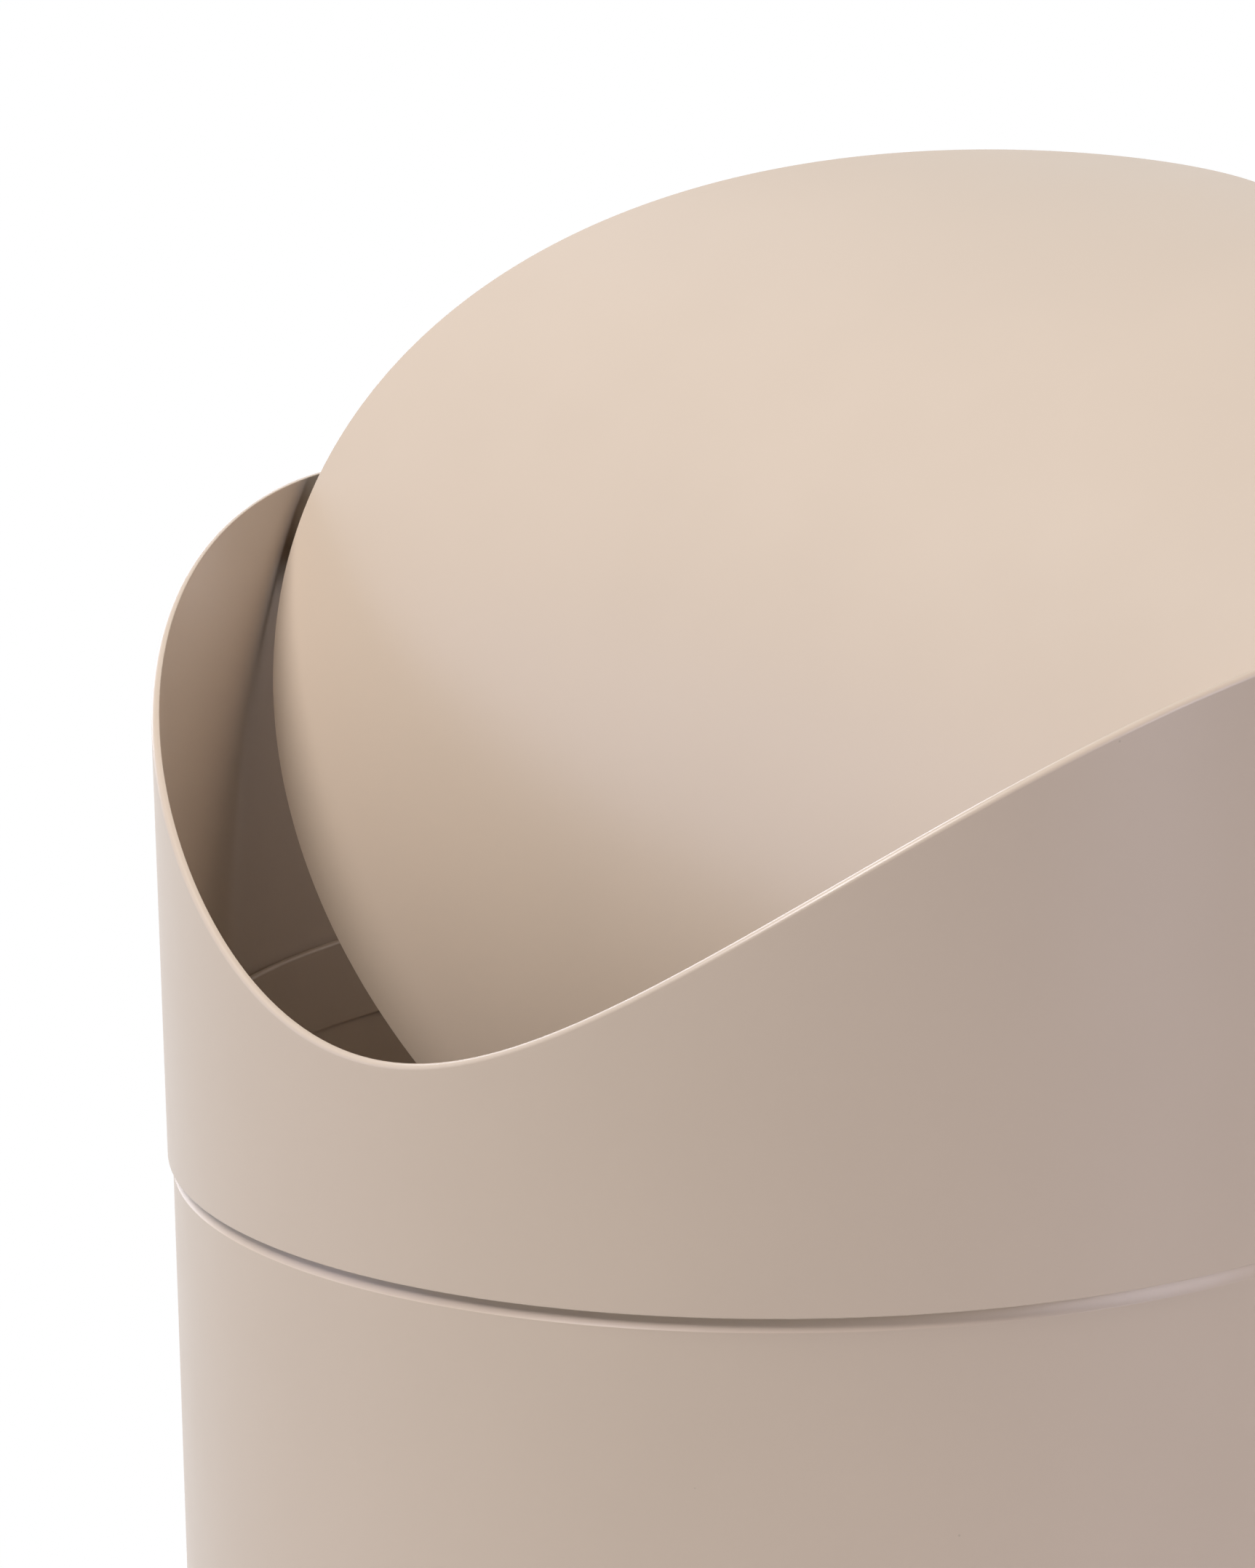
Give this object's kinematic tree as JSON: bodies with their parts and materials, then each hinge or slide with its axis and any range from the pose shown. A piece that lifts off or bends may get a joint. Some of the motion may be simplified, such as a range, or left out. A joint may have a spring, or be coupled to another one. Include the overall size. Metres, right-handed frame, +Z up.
{
  "type": "swing-lid bin",
  "caption": "Round tapered plastic waste bin with a lift-off collar whose rim rises and dips in a wave, and a vaulted swing lid that turns on two hidden side pivots.",
  "frame": {"origin": "on the floor, under the middle of the round base", "axes": "+Z up, X along the lid's pivots, -Y towards the end of the lid that dips into the bin"},
  "size_m": [0.2518, 0.2506, 0.4138],
  "materials": {
    "bin_shell": "fine matte texture",
    "collar_shell": "fine matte texture",
    "lid_shell": "fine matte texture",
    "pin_plastic": "smooth satin",
    "bush_plastic": "smooth satin",
    "washer_rubber": "matte",
    "foot_rubber": "matte"
  },
  "bodies": {
    "bin": {"bin_body": "bin_shell", "foot_pad_front_left": "foot_rubber", "foot_pad_front_right": "foot_rubber", "foot_pad_rear_left": "foot_rubber", "foot_pad_rear_right": "foot_rubber"},
    "collar": {"collar": "collar_shell", "pivot_bush_left": "bush_plastic", "pivot_bush_right": "bush_plastic"},
    "lid": {"lid": "lid_shell", "pivot_pin_left": "pin_plastic", "pivot_pin_right": "pin_plastic", "drag_washer_left": "washer_rubber", "drag_washer_right": "washer_rubber"}
  },
  "joints": [
    {"name": "collar_lift", "type": "slide", "parent": "bin", "child": "collar", "axis": [0, 0, 1], "range_m": [0, 0.16]},
    {"name": "lid_swing", "type": "hinge", "parent": "collar", "child": "lid", "pos_m": [0, 0, 0.343], "axis": [1, 0, 0], "range_deg": [-146.3, 33.7]}
  ]
}
